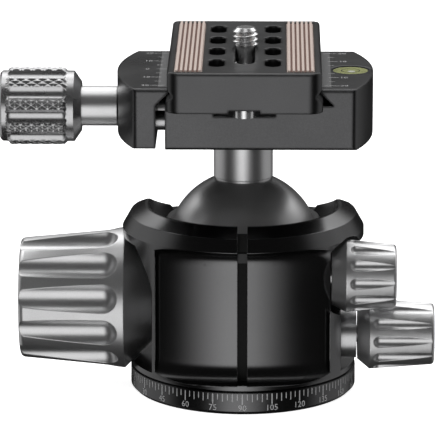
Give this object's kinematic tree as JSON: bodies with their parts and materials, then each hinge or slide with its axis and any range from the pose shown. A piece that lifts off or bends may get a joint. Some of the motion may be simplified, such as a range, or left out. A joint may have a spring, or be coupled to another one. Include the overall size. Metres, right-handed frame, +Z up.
{
  "type": "tripod ball head",
  "caption": "Tripod ball head with panning base, locking knobs, screw clamp with bubble level and a sliding quick-release camera plate.",
  "frame": {"origin": "centre of the base underside on the pan axis, at the mouth of the tripod thread", "axes": "+Z up along the pan axis, +X toward the two small knobs, -Y toward the viewer of the picture (front, index line)"},
  "size_m": [0.1081, 0.0648, 0.0918],
  "materials": {
    "body_black": "satin black anodised",
    "dial_black": "satin black anodised, engraved dial",
    "clamp_black": "fine blasted black anodised",
    "titanium_grey": "satin titanium-grey anodised",
    "knurl_grey": "titanium-grey anodised, knurled",
    "bright_steel": "polished",
    "plain_steel": "turned",
    "dark_steel": "blackened",
    "pale_plastic": "moulded",
    "dark_plastic": "moulded",
    "strip_rubber": "matt, ribbed",
    "level_green": "clear with tinted fluid"
  },
  "bodies": {
    "base": {"pan_base": "dial_black", "thread_bush": "bright_steel", "pan_glide_ring": "pale_plastic", "pan_retainer": "plain_steel", "retainer_screws": "plain_steel"},
    "housing": {"housing": "body_black", "seat_ring": "dark_plastic", "friction_pad": "pale_plastic", "pan_boss": "plain_steel", "pan_brake_pad": "pale_plastic"},
    "main_knob": {"main_knob": "titanium_grey", "main_spindle": "plain_steel", "main_cap_screw": "dark_steel"},
    "friction_knob": {"friction_knob": "titanium_grey", "friction_spindle": "plain_steel"},
    "pan_knob": {"pan_knob": "titanium_grey", "pan_spindle": "plain_steel"},
    "cup": {"ball_cup": "pale_plastic"},
    "ball": {"ball_stem": "titanium_grey"},
    "clamp": {"clamp_base": "clamp_black", "clamp_bolt": "dark_steel", "guide_pins": "plain_steel", "level_ring": "dark_steel", "level_vial": "level_green"},
    "jaw": {"moving_jaw": "clamp_black"},
    "jaw_knob": {"clamp_knob": "knurl_grey", "clamp_screw": "titanium_grey"},
    "plate": {"qr_plate": "clamp_black", "grip_strips": "strip_rubber", "stop_screws": "bright_steel"},
    "camera_screw": {"camera_screw": "bright_steel"}
  },
  "joints": [
    {"name": "pan", "type": "hinge", "parent": "base", "child": "housing", "pos_m": [0, 0, 0.0061], "axis": [0, 0, 1], "continuous": true},
    {"name": "main_knob_turn", "type": "hinge", "parent": "housing", "child": "main_knob", "pos_m": [-0.039, 0, 0.0224], "axis": [-1, 0, 0], "range_deg": [0, 180]},
    {"name": "friction_knob_turn", "type": "hinge", "parent": "housing", "child": "friction_knob", "pos_m": [0.03, -0.0146, 0.0321], "axis": [1, 0, 0], "range_deg": [0, 180]},
    {"name": "pan_knob_turn", "type": "hinge", "parent": "housing", "child": "pan_knob", "pos_m": [0.038, -0.009, 0.0157], "axis": [1, 0, 0], "range_deg": [0, 180]},
    {"name": "ball_yaw", "type": "hinge", "parent": "housing", "child": "cup", "pos_m": [0, 0, 0.0358], "axis": [0, 0, 1], "continuous": true},
    {"name": "ball_tilt", "type": "hinge", "parent": "cup", "child": "ball", "pos_m": [0, 0, 0.0358], "axis": [1, 0, 0], "range_deg": [-36, 36]},
    {"name": "ball_spin", "type": "hinge", "parent": "ball", "child": "clamp", "pos_m": [0, 0, 0.0658], "axis": [0, 0, 1], "continuous": true},
    {"name": "jaw_slide", "type": "slide", "parent": "clamp", "child": "jaw", "axis": [-1, 0, 0], "range_m": [0, 0.0031]},
    {"name": "jaw_knob_turn", "type": "hinge", "parent": "jaw", "child": "jaw_knob", "pos_m": [-0.05, 0, 0.0717], "axis": [-1, 0, 0], "range_deg": [0, 720]},
    {"name": "plate_slide", "type": "slide", "parent": "clamp", "child": "plate", "axis": [0, 1, 0], "range_m": [-0.0135, 0.0135]},
    {"name": "camera_screw_turn", "type": "hinge", "parent": "plate", "child": "camera_screw", "pos_m": [0.00045, 0, 0.0873], "axis": [0, 0, 1], "continuous": true}
  ],
  "couplings": [
    {"joint": "jaw_slide", "follows": "jaw_knob_turn", "m_per_rad": 0.0002387}
  ]
}
